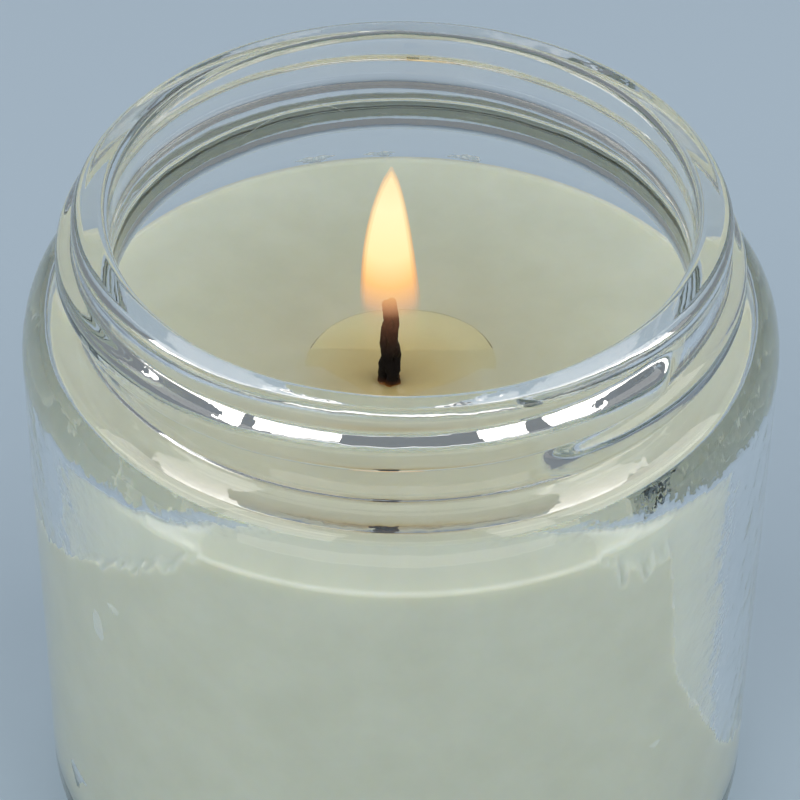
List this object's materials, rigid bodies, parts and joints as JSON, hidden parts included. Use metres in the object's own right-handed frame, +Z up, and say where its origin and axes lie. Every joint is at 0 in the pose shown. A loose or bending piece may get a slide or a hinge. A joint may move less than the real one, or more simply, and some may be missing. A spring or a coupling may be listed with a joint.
{
  "type": "candle jar",
  "caption": "Poured container candle in a clear glass screw-neck jar, with a dished wax fill and a charred cored wick set in a metal tab.",
  "frame": {"origin": "middle of the foot, on the surface that the jar stands on", "axes": "+Z up along the jar's axis, out of its mouth; the start of the screw thread that overlaps its end lies between -Y and +X"},
  "size_m": [0.0774, 0.0774, 0.08],
  "materials": {
    "glass": "clear pressed glass, polished, faintly rippled",
    "wax": "cream container wax, satin",
    "foam_tape": "white foam tape",
    "tinplate": "stamped tinplate",
    "paper_core": "waxed paper cord",
    "charred_cotton": "braided cotton, charred where it is bare"
  },
  "bodies": {
    "root": {"glass_jar": "glass", "wax_fill": "wax", "adhesive_dot": "foam_tape", "wick_tab": "tinplate", "wick_core": "paper_core", "wick_yarn_right_1": "charred_cotton", "wick_yarn_right_2": "charred_cotton", "wick_yarn_right_3": "charred_cotton", "wick_yarn_left_1": "charred_cotton", "wick_yarn_left_2": "charred_cotton", "wick_yarn_left_3": "charred_cotton"}
  },
  "joints": []
}
